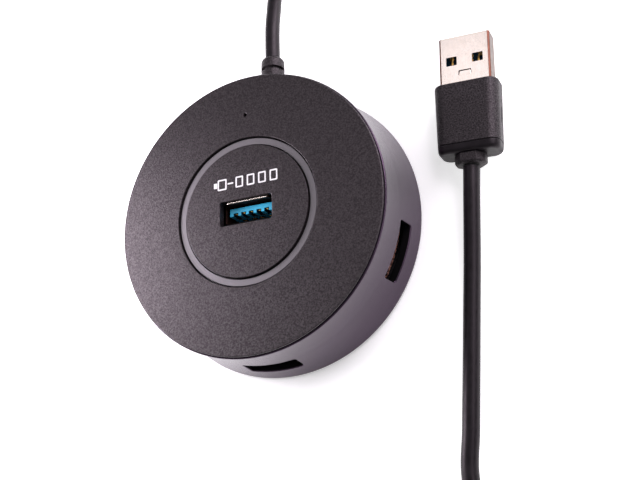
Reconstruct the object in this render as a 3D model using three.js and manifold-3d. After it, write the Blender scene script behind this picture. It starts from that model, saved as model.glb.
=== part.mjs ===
// A round desktop USB hub: one socket in the middle of the lid, three round the wall, and a lead with a plug.
// Millimetres, +Z up. The origin is the middle of the hub on the surface it stands on, and +Y points the way
// the lead leaves the hub. The plug lies on the same surface, to the right of the hub.
import * as THREE from "three";
import { mergeVertices } from "three/addons/utils/BufferGeometryUtils.js";
import Module from "manifold-3d";

const wasm = await Module();
wasm.setup();

// ---------------------------------------------------------------- driving dimensions

const gap = 0.3; // clearance between pieces that touch
const roundSides = 64; // facets of the case's round pieces
const smallSides = 20; // facets of screws, feet and other small round pieces
const quarterTurn = Math.PI / 2;

// The case
const lidRadius = 33.4;
const lidTop = 20.0;
const lidEdge = 0.5; // thickness of the lid's overhanging rim
const lidThickness = 1.8;
const footLift = 0.8; // the feet hold the case this far off the table
const wallTop = lidTop - lidEdge - gap;
const wallTopRadius = 33.8;
const wallBottomRadius = 35.5;
const wallWaist = 0.75; // how far the wall curves in at half its height
const wallThickness = 1.8;
const shelfInner = 31.0; // the wall's top turns in this far to carry the lid
const shelfThickness = 1.8;
const baseThickness = 1.2;
const baseTop = footLift + baseThickness;
const baseRadius = wallBottomRadius - wallThickness - gap;

// The groove in the lid, and the ring that lights up in it
const grooveOuter = 17.9;
const grooveInner = 15.73;
const grooveDepth = 0.5;
const ringFlange = 1.2; // thickness of the ring's hidden flange, which carries both plates

// Sockets, as seen into the mouth: width across, height, and depth behind the mouth
const socket = { width: 13.1, height: 5.7, depth: 14, metal: 0.4, corner: 0.5 };
const tongue = { width: 11.1, thickness: 1.84, setBack: 2.0, offset: 0.95 };
const contactPitch = [-3.5, -1.0, 1.0, 3.5];
const contactHalf = 0.5; // half a contact's width
const contactReach = 4.2; // half the width of the strip that joins the contacts
const lidSocketMouth = lidTop - 0.7;
const lidSlot = { width: 13.4, height: 5.9, corner: 0.6 };
const wallSlot = { width: 13.4, height: 4.8, corner: 0.6 };
const wallSocketHeight = 7.7; // height of the side sockets' middle
const wallSocketMouth = 31.2; // their mouths' distance from the hub's middle
const wallSockets = { right: -20, front: -90, left: -160 }; // directions in degrees from +X

// The circuit board and what stands on it
const boardBottom = 3.3;
const boardThickness = 1.2;
const boardTop = boardBottom + boardThickness;
const boardRadius = 31.2;
const ledDistance = 23.7; // the status light is this far from the middle, towards the lead
const ledHeight = 0.7;

// Screws and feet
const screwDistance = 29.8;
const screwDirections = [35, 145, 235, 305];
const screwHead = { radius: 2.0, height: 0.9 };
const screwShank = { radius: 1.0, length: 9 };
const bossRadius = 2.6;
const padRadius = bossRadius + 0.6; // raised pads in the base that take the screw heads
const footDistance = 26;
const footRadius = 4;
const footDirections = [0, 90, 180, 270];
const footSeatDepth = 0.4;
const restDistance = 16; // short posts on the base that carry the board
const restRadius = 1.6;
const restDirections = [60, 120, 240, 300];

// The lead: its gland, its route and its plug
const cordRadius = 1.9;
const cordSides = 8;
const glandHeight = 5.3;
const glandRadius = 3.05;
const glandStart = 35.45; // where its ribbed sleeve begins, just outside the wall
const glandEnd = 45.2;
const coil = { x: 68, y: 76, innerRadius: 13.9, outerRadius: 25.5, height: 7.7 };
const plug = { x: 48.6, y: 6.8, height: 3.8, turn: -2.4 }; // rear end of its collar, and its turn in degrees

// Middle line of the lead from the gland to the coil: straight out, down to the table and round to the right
const hubRun = [
  [0, glandEnd + gap, glandHeight],
  [0, 50, 5.3],
  [0, 55, 5.1],
  [0, 60, 4.3],
  [0, 66, 3.1],
  [1.2, 73.5, 2.1],
  [4.5, 80.5, 1.9],
  [10, 87, 1.9],
  [17, 92.4, 1.9],
  [25.5, 96.6, 1.9],
  [35, 98.9, 2.0],
  [44, 99.5, 3.0],
  [50, 99.5, 4.6],
  [53.8, 99.5, 5.4],
];

// Middle line of the lead from the coil to the plug: down the right, round, and up into the plug's collar
const plugRun = [
  [91.5, 61.8, 1.9],
  [91.8, 50, 1.9],
  [91.3, 40, 1.9],
  [90, 25, 1.9],
  [88.3, 8, 1.9],
  [86.3, -10, 1.9],
  [84.2, -28, 1.9],
  [82, -45, 1.9],
  [80.3, -56, 1.9],
  [77.6, -66.5, 1.9],
  [71, -75.5, 1.9],
  [61.3, -79.8, 1.9],
  [51.5, -78, 1.9],
  [44.6, -71, 1.9],
  [42.3, -61, 1.9],
  [43.2, -50, 1.9],
  [44.3, -38, 1.9],
  [45.4, -26, 1.95],
  [46.5, -15, 2.3],
  [47.4, -6, 3.0],
  [48.1, 1, 3.6],
  [48.59, 6.5, 3.8],
];

// ---------------------------------------------------------------- materials

function finish(colour, roughness, metalness = 0) {
  return new THREE.MeshStandardMaterial({ color: colour, roughness, metalness });
}

const finishes = {
  texturedLid: finish(0x3b383b, 0.75),
  satinWall: finish(0x1f1b20, 0.35),
  ringGrey: finish(0x77727a, 0.4),
  baseBlack: finish(0x1c1b1d, 0.7),
  rubber: finish(0x121212, 0.95),
  screwSteel: finish(0x8d8d90, 0.35, 1),
  boardGreen: finish(0x1d5a34, 0.5),
  nickel: finish(0xcfc8bf, 0.25, 1),
  socketBlue: finish(0x2f9fd8, 0.45),
  contactGold: finish(0xc99a3c, 0.3, 1),
  chipBlack: finish(0x17171a, 0.5),
  canSilver: finish(0xb9bbbf, 0.3, 1),
  capacitorTan: finish(0xa58a62, 0.6),
  ledLens: finish(0xd8e4ee, 0.2),
  clearPlastic: finish(0xdfe6ea, 0.15),
  cordBlack: finish(0x1a171b, 0.45),
  wireColours: [0xb3261e, 0x1b1b1b, 0xe8e8e4, 0x2b7d3a, 0x2a4fa8, 0xd9a520].map((c) => finish(c, 0.5)),
  plugBlack: finish(0x201d21, 0.7),
};

// ---------------------------------------------------------------- shapes and solids

const radians = THREE.MathUtils.degToRad;

function onCircle(distance, degrees, height = 0) {
  const angle = radians(degrees);
  return new THREE.Vector3(distance * Math.cos(angle), distance * Math.sin(angle), height);
}

// A closed geometry as a solid that can be cut and joined.
function solid(geometry) {
  const bare = geometry.clone();
  bare.deleteAttribute("normal");
  bare.deleteAttribute("uv");
  const merged = mergeVertices(bare);
  return new wasm.Manifold(
    new wasm.Mesh({
      numProp: 3,
      vertProperties: new Float32Array(merged.attributes.position.array),
      triVerts: new Uint32Array(merged.index.array),
    }),
  );
}

// A cut or joined solid as a geometry again.
function geometryOf(piece) {
  const { vertProperties, triVerts } = piece.getMesh();
  const geometry = new THREE.BufferGeometry();
  geometry.setAttribute("position", new THREE.BufferAttribute(vertProperties, 3));
  geometry.setIndex(new THREE.BufferAttribute(triVerts, 1));
  geometry.computeVertexNormals();
  return geometry;
}

// An outline of [radius, height] points, counter-clockwise from its lowest outer point, turned about Z.
function turned(outline, sides = roundSides) {
  const closed = [...outline, outline[0]].map(([radius, height]) => new THREE.Vector2(radius, height));
  return new THREE.LatheGeometry(closed, sides).rotateX(quarterTurn);
}

function ring(inner, outer, bottom, top, sides = roundSides) {
  return turned([[outer, bottom], [outer, top], [inner, top], [inner, bottom]], sides);
}

function disc(radius, bottom, top, sides = smallSides) {
  return new THREE.CylinderGeometry(radius, radius, top - bottom, sides)
    .rotateX(quarterTurn)
    .translate(0, 0, (bottom + top) / 2);
}

// A box between two opposite corners.
function block(low, high) {
  const size = high.map((value, axis) => value - low[axis]);
  const middle = high.map((value, axis) => (value + low[axis]) / 2);
  return new THREE.BoxGeometry(...size).translate(...middle);
}

function roundedRectangle(width, height, corner, Kind = THREE.Shape) {
  const [x, y] = [width / 2 - corner, height / 2 - corner];
  const outline = new Kind();
  outline.absarc(x, y, corner, 0, quarterTurn);
  outline.absarc(-x, y, corner, quarterTurn, 2 * quarterTurn);
  outline.absarc(-x, -y, corner, 2 * quarterTurn, 3 * quarterTurn);
  outline.absarc(x, -y, corner, 3 * quarterTurn, 4 * quarterTurn);
  outline.closePath();
  return outline;
}

// A rounded bar whose section lies in XZ, running along +Y between two places.
function barAlongY(width, height, corner, start, end, cornerSteps = 2) {
  return new THREE.ExtrudeGeometry(roundedRectangle(width, height, corner), {
    depth: end - start,
    bevelEnabled: false,
    curveSegments: cornerSteps,
  })
    .rotateX(quarterTurn)
    .translate(0, end, 0);
}

// A rod along +Y between two places, with its middle line at the origin.
function rodAlongY(radius, start, end, sides = smallSides) {
  return new THREE.CylinderGeometry(radius, radius, end - start, sides).translate(0, (start + end) / 2, 0);
}

// A round cord along a smooth line through the given points.
function cordAlong(points, radius, steps) {
  const corners = Array.from({ length: cordSides }, (_, side) => {
    const angle = (2 * Math.PI * side) / cordSides;
    return new THREE.Vector2(radius * Math.cos(angle), radius * Math.sin(angle));
  });
  const stops = points.map((point) => new THREE.Vector3(...point));
  const line = new THREE.CatmullRomCurve3(stops, false, "centripetal");
  return new THREE.ExtrudeGeometry(new THREE.Shape(corners), { steps, extrudePath: line });
}

function named(name, geometry, material) {
  const mesh = new THREE.Mesh(geometry, material);
  mesh.name = name;
  return mesh;
}

// ---------------------------------------------------------------- the case

// Outer radius of the side wall, which widens to the base and curves in a little at half its height.
function wallRadius(height) {
  const share = (height - footLift) / (wallTop - footLift);
  const straight = wallBottomRadius + (wallTopRadius - wallBottomRadius) * share;
  return straight - 4 * wallWaist * share * (1 - share);
}

function housingShell() {
  const edge = 0.3; // the wall's outer edges are rounded this much
  const rows = 6;
  const lowest = footLift + edge;
  const outside = Array.from({ length: rows + 1 }, (_, row) => {
    const height = lowest + ((wallTop - edge - lowest) * row) / rows;
    return [wallRadius(height), height];
  });
  const inside = [wallTop - shelfThickness, wallTop / 2, footLift].map((height) => [
    wallRadius(height) - wallThickness,
    height,
  ]);
  const outline = [
    [wallBottomRadius - edge, footLift],
    ...outside,
    [wallTopRadius - edge / 3, wallTop - edge / 3],
    [wallTopRadius - edge, wallTop],
    [shelfInner, wallTop],
    [shelfInner, wallTop - shelfThickness],
    ...inside,
  ];
  let shell = solid(turned(outline));

  const bossBottom = footLift + screwHead.height + 2.5 * gap + baseThickness;
  for (const direction of screwDirections) {
    const place = onCircle(screwDistance, direction);
    const boss = disc(bossRadius, bossBottom, wallTop - shelfThickness + gap);
    const hole = disc(screwShank.radius + gap, 0, screwShank.length + 4 * gap + baseTop);
    shell = shell.add(solid(boss.translate(place.x, place.y, 0)));
    shell = shell.subtract(solid(hole.translate(place.x, place.y, 0)));
  }

  const [cutStart, cutEnd] = [shelfInner - 3, wallBottomRadius + 1];
  for (const direction of Object.values(wallSockets)) {
    const slot = barAlongY(wallSlot.width, wallSlot.height, wallSlot.corner, cutStart, cutEnd);
    slot.rotateZ(radians(direction - 90)).translate(0, 0, wallSocketHeight);
    shell = shell.subtract(solid(slot));
  }

  const glandHole = rodAlongY(glandRadius, cutStart, cutEnd).translate(0, 0, glandHeight);
  shell = shell.subtract(solid(glandHole));
  return named("housing_shell", geometryOf(shell), finishes.satinWall);
}

function topCover() {
  const chamfer = 0.15;
  const locatingRadius = shelfInner - gap;
  const outline = [
    [locatingRadius, lidTop - lidThickness],
    [locatingRadius, lidTop - lidEdge],
    [lidRadius, lidTop - lidEdge],
    [lidRadius, lidTop - chamfer],
    [lidRadius - chamfer, lidTop],
    [grooveOuter, lidTop],
    [grooveOuter, lidTop - lidThickness],
  ];
  const pinhole = disc(0.45, lidTop - 2 * lidThickness, lidTop + 1, 12).translate(0, ledDistance, 0);
  const cover = solid(turned(outline)).subtract(solid(pinhole));
  return named("top_cover", geometryOf(cover), finishes.texturedLid);
}

function centrePlate() {
  const plate = disc(grooveInner, lidTop - lidThickness, lidTop, roundSides);
  const slot = new THREE.ExtrudeGeometry(roundedRectangle(lidSlot.width, lidSlot.height, lidSlot.corner), {
    depth: 3 * lidThickness,
    bevelEnabled: false,
    curveSegments: 3,
  }).translate(0, 0, lidTop - 2 * lidThickness);
  return named("centre_plate", geometryOf(solid(plate).subtract(solid(slot))), finishes.texturedLid);
}

// The grey ring in the groove, with a hidden flange under the lid and under the centre plate.
function lightRing() {
  const flangeTop = lidTop - lidThickness - gap;
  const flangeBottom = flangeTop - ringFlange;
  const [inner, outer] = [grooveInner + gap, grooveOuter - gap];
  const outline = [
    [outer + 2, flangeBottom],
    [outer + 2, flangeTop],
    [outer, flangeTop],
    [outer, lidTop - grooveDepth],
    [inner, lidTop - grooveDepth],
    [inner, flangeTop],
    [inner - 2, flangeTop],
    [inner - 2, flangeBottom],
  ];
  return named("light_ring", turned(outline), finishes.ringGrey);
}

function baseCover() {
  let cover = solid(disc(baseRadius, footLift, baseTop, roundSides));
  const padTop = baseTop + screwHead.height;
  for (const direction of screwDirections) {
    const place = onCircle(screwDistance, direction);
    const pad = disc(padRadius, footLift + gap, padTop);
    const recess = disc(screwHead.radius + gap, 0, footLift + screwHead.height + 2 * gap);
    const hole = disc(screwShank.radius + gap, 0, padTop + 1);
    cover = cover.add(solid(pad.translate(place.x, place.y, 0)));
    cover = cover.subtract(solid(recess.translate(place.x, place.y, 0)));
    cover = cover.subtract(solid(hole.translate(place.x, place.y, 0)));
  }
  for (const direction of footDirections) {
    const place = onCircle(footDistance, direction);
    const recess = disc(footRadius + gap, 0, footLift + footSeatDepth).translate(place.x, place.y, 0);
    cover = cover.subtract(solid(recess));
  }
  for (const direction of restDirections) {
    const place = onCircle(restDistance, direction);
    const rest = disc(restRadius, baseTop - gap, boardBottom - gap).translate(place.x, place.y, 0);
    cover = cover.add(solid(rest));
  }
  return named("base_cover", geometryOf(cover), finishes.baseBlack);
}

function rubberFeet() {
  const footHeight = footLift + footSeatDepth - gap;
  return footDirections.map((direction, index) => {
    const foot = named(`foot_${index + 1}`, disc(footRadius, 0, footHeight), finishes.rubber);
    foot.position.copy(onCircle(footDistance, direction));
    return foot;
  });
}

// A screw driven up from below: a cross-recessed head and a plain shank.
function baseScrews() {
  const cross = { reach: 1.2, half: 0.25, depth: 0.5 };
  const headBottom = footLift + gap;
  const shankTop = headBottom + screwHead.height + screwShank.length;
  return screwDirections.map((direction, index) => {
    const head = solid(disc(screwHead.radius, headBottom, headBottom + screwHead.height));
    const shank = solid(disc(screwShank.radius, headBottom, shankTop, 12));
    const crossTop = headBottom + cross.depth;
    const acrossX = block([-cross.reach, -cross.half, 0], [cross.reach, cross.half, crossTop]);
    const acrossY = block([-cross.half, -cross.reach, 0], [cross.half, cross.reach, crossTop]);
    const screw = head.add(shank).subtract(solid(acrossX)).subtract(solid(acrossY));
    const mesh = named(`base_screw_${index + 1}`, geometryOf(screw), finishes.screwSteel);
    mesh.position.copy(onCircle(screwDistance, direction));
    return mesh;
  });
}

// ---------------------------------------------------------------- sockets

// One socket, with its mouth at the origin facing +Y: a metal shell, a blue insulator and its contacts.
function socketGroup(place) {
  const { width, height, depth, metal, corner } = socket;
  const back = -depth;
  const outer = roundedRectangle(width, height, corner);
  outer.holes.push(roundedRectangle(width - 2 * metal, height - 2 * metal, corner - metal / 2, THREE.Path));
  const shell = new THREE.ExtrudeGeometry(outer, { depth, bevelEnabled: false, curveSegments: 2 });
  shell.rotateX(quarterTurn);

  const blockFront = back + 3.4;
  const [halfWidth, halfHeight] = [width / 2 - metal - gap, height / 2 - metal - gap];
  const tongueLow = tongue.offset - tongue.thickness / 2;
  const tongueHigh = tongue.offset + tongue.thickness / 2;
  const rear = block([-halfWidth, back, -halfHeight], [halfWidth, blockFront, halfHeight]);
  const blade = block(
    [-tongue.width / 2, back + 1, tongueLow],
    [tongue.width / 2, -tongue.setBack, tongueHigh],
  );

  const [springTop, springBottom] = [tongueLow - gap, tongueLow - gap - 0.3];
  const combStart = blockFront + gap;
  const bridge = block(
    [-contactReach, combStart, springBottom],
    [contactReach, combStart + 0.8, springTop],
  );
  let comb = solid(bridge);
  for (const x of contactPitch) {
    const spring = block(
      [x - contactHalf, combStart, springBottom],
      [x + contactHalf, -tongue.setBack - 1, springTop],
    );
    comb = comb.add(solid(spring));
  }

  const group = new THREE.Group();
  group.add(named(`port_shell_${place}`, shell, finishes.nickel));
  group.add(named(`port_insulator_${place}`, geometryOf(solid(rear).add(solid(blade))), finishes.socketBlue));
  group.add(named(`port_contacts_${place}`, geometryOf(comb), finishes.contactGold));
  return group;
}

function sockets() {
  const lidSocket = socketGroup("top");
  lidSocket.rotation.set(quarterTurn, 0, Math.PI, "ZXY");
  lidSocket.position.set(0, 0, lidSocketMouth);
  const sideSockets = Object.entries(wallSockets).map(([place, direction]) => {
    const group = socketGroup(place);
    group.rotation.z = radians(direction - 90);
    group.position.copy(onCircle(wallSocketMouth, direction, wallSocketHeight));
    return group;
  });
  return [lidSocket, ...sideSockets];
}

// ---------------------------------------------------------------- circuit board

function mainBoard() {
  let board = solid(disc(boardRadius, boardBottom, boardTop, roundSides));
  for (const direction of screwDirections) {
    const place = onCircle(screwDistance, direction);
    board = board.subtract(solid(disc(bossRadius + 1.1, 0, boardTop + 1).translate(place.x, place.y, 0)));
  }
  const cordNotch = block([-6, 24.9, 0], [6, boardRadius + 1, boardTop + 1]);
  return named("main_board", geometryOf(board.subtract(solid(cordNotch))), finishes.boardGreen);
}

function boardParts() {
  const bottom = boardTop + gap;
  const onBoard = (name, size, x, y, turn, material) => {
    const geometry = new THREE.BoxGeometry(...size).translate(0, 0, size[2] / 2);
    const mesh = named(name, geometry, material);
    mesh.position.set(x, y, bottom);
    mesh.rotation.z = radians(turn);
    return mesh;
  };
  const parts = [
    onBoard("hub_controller", [7, 7, 1.0], -15.5, 9.5, 0, finishes.chipBlack),
    onBoard("crystal", [3.2, 2.5, 0.9], -8.5, 16.5, 0, finishes.canSilver),
    onBoard("voltage_regulator", [6.5, 3.5, 1.6], 16, 12, 90, finishes.chipBlack),
    onBoard("resettable_fuse", [4.5, 3.2, 0.8], 9, 18.5, 0, finishes.capacitorTan),
    onBoard("status_led", [1.6, 0.8, ledHeight], 0, ledDistance, 0, finishes.ledLens),
  ];
  const capacitors = [
    [22.5, 3.5],
    [21.5, 10],
    [-23, 5],
    [-14, 18],
  ];
  capacitors.forEach(([x, y], index) => {
    const can = named(`capacitor_${index + 1}`, disc(2.0, bottom, bottom + 5.4, 16), finishes.canSilver);
    can.position.set(x, y, 0);
    parts.push(can);
  });
  return parts;
}

// A clear rod that carries the status light up to the pinhole in the lid.
function lightPipe() {
  const bottom = boardTop + ledHeight + 2 * gap;
  const pipe = disc(1.2, bottom, lidTop - lidThickness - gap, 16).translate(0, ledDistance, 0);
  return named("light_pipe", pipe, finishes.clearPlastic);
}

// ---------------------------------------------------------------- the lead inside the case

// The strain relief: a square flange inside the wall, a neck through it, and a ribbed sleeve outside.
function cableGland() {
  const flangeReach = 4.2;
  const [flangeNear, flangeFar] = [30.4, 31.6];
  const flange = block(
    [-flangeReach, flangeNear, baseTop + gap - glandHeight],
    [flangeReach, flangeFar, glandRadius],
  );
  const neck = rodAlongY(glandRadius - gap, flangeNear + gap, glandStart + 1);
  const shoulder = 0.9; // length of the sleeve's tapered end
  const sleeve = rodAlongY(glandRadius, glandStart, glandEnd - shoulder);
  const nose = new THREE.CylinderGeometry(cordRadius + 0.4, glandRadius, shoulder, smallSides);
  nose.translate(0, glandEnd - shoulder / 2, 0);
  let gland = solid(flange).add(solid(neck)).add(solid(sleeve)).add(solid(nose));

  // Three slots round the sleeve, each bridged on two opposite sides
  const slot = { width: 0.9, depth: 0.7, bridgeHalf: 0.7 };
  const past = glandRadius + 1;
  for (const [start, bridgeTurn] of [[41.5, -25], [38.9, 125], [36.3, -25]]) {
    const end = start + slot.width;
    const core = solid(rodAlongY(glandRadius - slot.depth, start - 1, end + 1));
    const bridge = block([-past, start - 1, -slot.bridgeHalf], [past, end + 1, slot.bridgeHalf]);
    const around = solid(rodAlongY(past, start, end));
    gland = gland.subtract(around.subtract(core).subtract(solid(bridge.rotateY(-radians(bridgeTurn)))));
  }
  const mesh = named("cable_gland", geometryOf(gland), finishes.plugBlack);
  mesh.position.z = glandHeight;
  return mesh;
}

function innerCord() {
  const stub = named("inner_cord", rodAlongY(cordRadius, 26.9, 30.1, 16), finishes.cordBlack);
  stub.position.z = glandHeight;
  return stub;
}

// A small bridge that holds the lead down behind its gland.
function cordClamp() {
  const [near, far] = [27.6, 29.6];
  const thickness = 1.2;
  const legInner = cordRadius + gap;
  const legOuter = legInner + thickness;
  const top = glandHeight + legInner + thickness;
  const bridge = block([-legOuter, near, top - thickness], [legOuter, far, top]);
  const legs = [-1, 1].map((side) => {
    const [low, high] = side < 0 ? [-legOuter, -legInner] : [legInner, legOuter];
    return solid(block([low, near, baseTop + gap], [high, far, top]));
  });
  return named("cord_clamp", geometryOf(solid(bridge).add(legs[0]).add(legs[1])), finishes.baseBlack);
}

// The lead's wires, fanned out from its cut end to two rows of pads beside the status light.
function innerWires() {
  const wireRadius = 0.35;
  const ends = [
    { across: 1.35, up: 0, pad: 5.8 },
    { across: 0.55, up: -0.7, pad: 4.3 },
    { across: 0.55, up: 0.95, pad: 2.8 },
  ];
  const leftAndRight = [-1, 1].flatMap((side) => ends.map((end) => ({ ...end, side })));
  return leftAndRight.map(({ side, across, up, pad }, index) => {
    const line = [
      [side * across, 26.6, glandHeight + up],
      [side * (across + 0.15 * pad), 25.8, glandHeight + up],
      [side * 0.75 * pad, 23.8, glandHeight + 0.7 + 0.4 * up],
      [side * pad, 21.5, boardTop + 1.2],
      [side * pad, 19.5, boardTop + gap + wireRadius],
    ];
    return named(`inner_wire_${index + 1}`, cordAlong(line, wireRadius, 8), finishes.wireColours[index]);
  });
}

// ---------------------------------------------------------------- the lead outside the case

function lead() {
  const { x, y, innerRadius, outerRadius, height } = coil;
  const bundle = named("cord_coil", ring(innerRadius, outerRadius, 0, height, 48), finishes.cordBlack);
  bundle.position.set(x, y, 0);
  return [
    named("cord_hub_run", cordAlong(hubRun, cordRadius, 14), finishes.cordBlack),
    bundle,
    named("cord_plug_run", cordAlong(plugRun, cordRadius, 34), finishes.cordBlack),
  ];
}

// The plug, with the rear of its collar at the origin and its mouth facing +Y.
function plugGroup() {
  const collarEnd = 2.4;
  const [bandStart, bandEnd] = [collarEnd + gap, collarEnd + gap + 1.6];
  const [bodyStart, bodyEnd] = [bandEnd + gap, 19.4];
  const tip = 31.6;
  const [shellWidth, shellHeight, metal] = [12.0, 4.5, 0.3];
  const shellStart = bodyEnd - 4.5;

  const collar = barAlongY(7.0, 5.4, 2.0, 0, collarEnd, 3);
  const band = barAlongY(14.4, 7.1, 2.2, bandStart, bandEnd, 4);
  const pocket = barAlongY(shellWidth + 2 * gap, shellHeight + 2 * gap, 0.5, shellStart - gap, tip);
  const body = solid(barAlongY(15.0, 7.5, 2.5, bodyStart, bodyEnd, 4)).subtract(solid(pocket));

  const section = roundedRectangle(shellWidth, shellHeight, 0.5);
  section.holes.push(roundedRectangle(shellWidth - 2 * metal, shellHeight - 2 * metal, 0.3, THREE.Path));
  const depth = tip - shellStart;
  const tube = new THREE.ExtrudeGeometry(section, { depth, bevelEnabled: false, curveSegments: 2 });
  let shell = solid(tube.rotateX(quarterTurn).translate(0, tip, 0));
  const window = { across: 3.05, halfWidth: 1.3, near: tip - 7.3, far: tip - 5.1 };
  for (const x of [-window.across, window.across]) {
    const low = [x - window.halfWidth, window.near, -shellHeight];
    const high = [x + window.halfWidth, window.far, shellHeight];
    shell = shell.subtract(solid(block(low, high)));
  }
  const tabSlot = block([-1.6, tip - 9.7, 0], [1.6, tip - 8.8, shellHeight]);
  shell = shell.subtract(solid(tabSlot));

  const [halfWidth, halfHeight] = [shellWidth / 2 - metal - gap, shellHeight / 2 - metal - gap];
  const insulatorTop = 0.1;
  const holder = block([-halfWidth, shellStart, -halfHeight], [halfWidth, bodyEnd - 1, halfHeight]);
  const blade = block([-halfWidth, shellStart, -halfHeight], [halfWidth, tip - gap, insulatorTop]);
  const insulator = solid(holder).add(solid(blade));

  const [contactBottom, contactTop] = [insulatorTop + gap, insulatorTop + gap + 0.3];
  const contactStart = bodyEnd - 0.6;
  const bridge = block(
    [-contactReach, contactStart, contactBottom],
    [contactReach, contactStart + 0.8, contactTop],
  );
  let contacts = solid(bridge);
  for (const x of contactPitch) {
    const strip = block(
      [x - contactHalf, contactStart, contactBottom],
      [x + contactHalf, tip - 2, contactTop],
    );
    contacts = contacts.add(solid(strip));
  }

  const group = new THREE.Group();
  group.add(named("plug_collar", collar, finishes.plugBlack));
  group.add(named("plug_end_band", band, finishes.plugBlack));
  group.add(named("plug_body", geometryOf(body), finishes.plugBlack));
  group.add(named("plug_shell", geometryOf(shell), finishes.nickel));
  group.add(named("plug_insulator", geometryOf(insulator), finishes.socketBlue));
  group.add(named("plug_contacts", geometryOf(contacts), finishes.contactGold));
  group.position.set(plug.x, plug.y, plug.height);
  group.rotation.z = radians(plug.turn);
  return group;
}

// ---------------------------------------------------------------- the whole hub

const hub = new THREE.Group();
hub.add(housingShell(), topCover(), lightRing(), centrePlate(), baseCover());
hub.add(...rubberFeet(), ...baseScrews());
hub.add(mainBoard(), ...boardParts(), lightPipe());
hub.add(...sockets());
hub.add(cableGland(), innerCord(), cordClamp(), ...innerWires());
hub.add(...lead(), plugGroup());

export default hub;
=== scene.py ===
"""The look of a round desktop USB hub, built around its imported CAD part.

Measures are in millimetres until a mesh or a point becomes a Blender object, which is in metres.
The hub stands at the origin, +Z is up, and +Y is the way the lead leaves it.
"""

import math

import bmesh
import bpy
from mathutils import Matrix, Vector


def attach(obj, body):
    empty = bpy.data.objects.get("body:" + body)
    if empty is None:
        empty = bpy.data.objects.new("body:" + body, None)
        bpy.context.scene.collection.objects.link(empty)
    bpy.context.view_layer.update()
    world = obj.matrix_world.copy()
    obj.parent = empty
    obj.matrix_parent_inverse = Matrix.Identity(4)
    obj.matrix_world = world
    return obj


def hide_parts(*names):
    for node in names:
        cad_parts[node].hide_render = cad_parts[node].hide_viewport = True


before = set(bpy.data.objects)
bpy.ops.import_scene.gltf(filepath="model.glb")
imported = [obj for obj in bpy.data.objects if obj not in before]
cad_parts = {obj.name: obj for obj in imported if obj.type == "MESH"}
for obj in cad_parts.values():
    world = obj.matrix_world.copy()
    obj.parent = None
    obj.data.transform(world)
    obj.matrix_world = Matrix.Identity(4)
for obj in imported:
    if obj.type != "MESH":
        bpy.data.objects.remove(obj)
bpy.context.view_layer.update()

MM = 0.001
BODY = "root"

# ---- measures, as in the CAD part

GAP = 0.3

# The case
LID = {"radius": 33.4, "top": 20.0, "edge": 0.5, "thickness": 1.8}
LID_BOTTOM = LID["top"] - LID["thickness"]
GROOVE = {"outer": 17.9, "inner": 15.73, "depth": 0.5}
FOOT_LIFT = 0.8
WALL = {"top": 19.2, "top_radius": 33.8, "bottom_radius": 35.5, "waist": 0.75, "thickness": 1.8, "edge": 0.3}
SHELF = {"inner": 31.0, "bottom": 17.4}
BASE = {"radius": 33.4, "top": 2.0}
PINHOLE = {"distance": 23.7, "radius": 0.45}
FOOT = {"distance": 26.0, "radius": 4.0, "height": 0.9, "directions": (0, 90, 180, 270)}
SCREW = {"distance": 29.8, "directions": (35, 145, 235, 305), "recess_radius": 2.3, "recess_top": 2.3}

# Sockets, as seen into the mouth
SOCKET = {"width": 13.1, "height": 5.7, "depth": 14.0, "metal": 0.4, "corner": 0.5}
TONGUE = {"width": 11.1, "bottom": 0.03, "top": 1.87, "front": -2.0}
FOUR_CONTACTS = (-3.5, -1.0, 1.0, 3.5)
FIVE_NOTCHES = (-4.0, -2.0, 0.0, 2.0, 4.0)
CHANNEL_HALF = 0.62
LID_SLOT = {"width": 13.4, "height": 5.9, "corner": 0.6}
WALL_SLOT = {"width": 13.4, "height": 4.8, "corner": 0.6}
LID_SOCKET_MOUTH = 19.3
WALL_SOCKETS = {"right": -20, "front": -90, "left": -160}
WALL_SOCKET_HEIGHT = 7.7
WALL_SOCKET_MOUTH = 31.2

# The lead
CORD_RADIUS = 1.9
GLAND = {"height": 5.3, "radius": 3.05, "start": 35.45, "end": 45.2, "nose": 1.1, "taper": 0.012, "sides": 96}
GLAND_SLOT = {"width": 0.9, "depth": 0.75, "edge": 0.08}
# Where each slot round the gland starts, and the direction of one of its two bridges
GLAND_SLOTS = [(41.5, -25), (38.9, 125), (36.3, -25)]
COIL = {"x": 68.0, "y": 76.0}

# The plug, with +Y towards its tip
PLUG = {"x": 48.6, "y": 6.8, "height": 3.8, "turn": -2.4}
PLUG_BAND = {"start": 2.55, "end": 4.45, "width": 14.4, "height": 7.1, "corner": 2.3}
PLUG_BODY = {"start": 4.6, "end": 19.4, "width": 15.0, "height": 7.5, "corner": 2.5}
PLUG_SHELL = {"start": 14.9, "tip": 31.6, "width": 12.0, "height": 4.5, "metal": 0.3, "corner": 0.5}

# Middle line of the lead from the gland to the coil
HUB_RUN = [
    (0, 45.5, 5.3), (0, 50, 5.3), (0, 55, 5.1), (0, 60, 4.3), (0, 66, 3.1),
    (1.2, 73.5, 2.1), (4.5, 80.5, 1.9), (10, 87, 1.9), (17, 92.4, 1.9), (25.5, 96.6, 1.9),
    (35, 98.9, 2.0), (44, 99.5, 3.0), (50, 99.5, 4.6), (53.8, 99.5, 5.4), (58, 99.5, 5.65),
    (63, 99.5, 5.7),
]

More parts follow.
